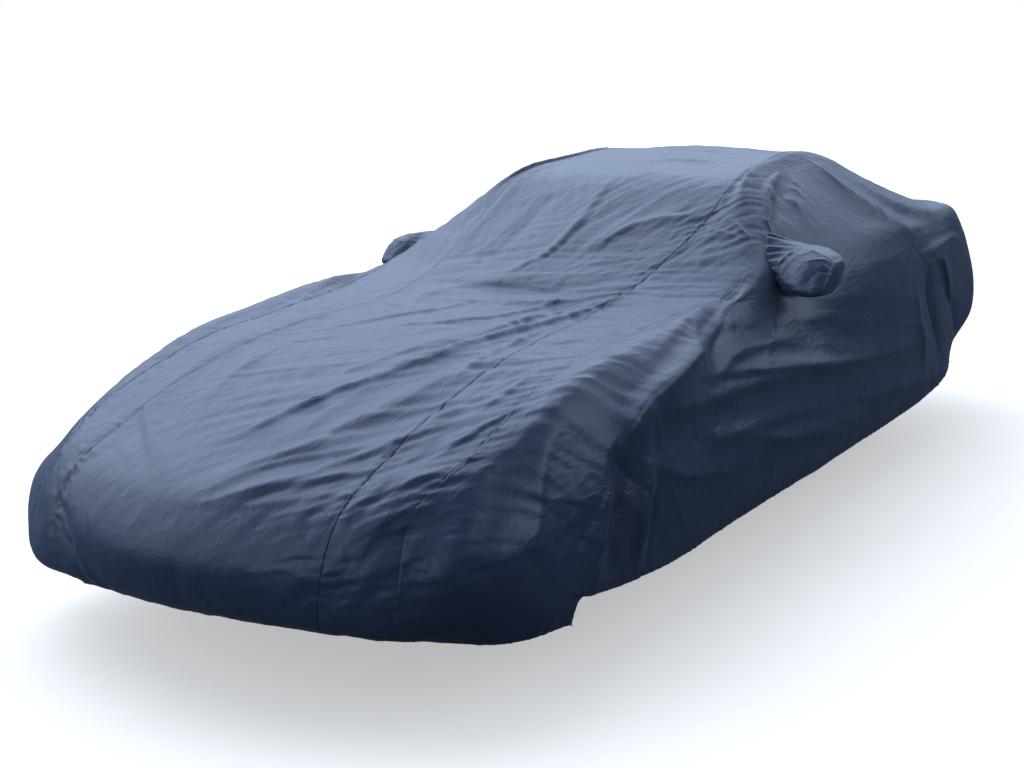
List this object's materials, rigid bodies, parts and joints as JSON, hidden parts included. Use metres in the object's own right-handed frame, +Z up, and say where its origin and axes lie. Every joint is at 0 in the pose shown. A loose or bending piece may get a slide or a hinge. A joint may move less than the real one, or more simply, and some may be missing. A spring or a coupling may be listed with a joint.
{
  "type": "fitted car cover",
  "caption": "Hollow fitted cloth cover in the shape of a low two-door coupe, of sewn panels with mirror pockets.",
  "frame": {"origin": "on the underside of the roof at its highest point, on the centre line: where the cover rests on what it covers", "axes": "+Z up, -Y towards the nose, +X towards the cover's own left side"},
  "size_m": [1.93, 4.4302, 1.0608],
  "materials": {
    "panel_cloth": "satin woven nylon",
    "strip_cloth": "satin woven nylon",
    "pocket_cloth": "satin woven nylon"
  },
  "bodies": {
    "root": {"centre_panel": "panel_cloth", "strip_panel_left": "strip_cloth", "strip_panel_right": "strip_cloth", "side_panel_left": "panel_cloth", "side_panel_right": "panel_cloth", "mirror_pocket_left": "pocket_cloth", "mirror_pocket_right": "pocket_cloth"}
  },
  "joints": []
}
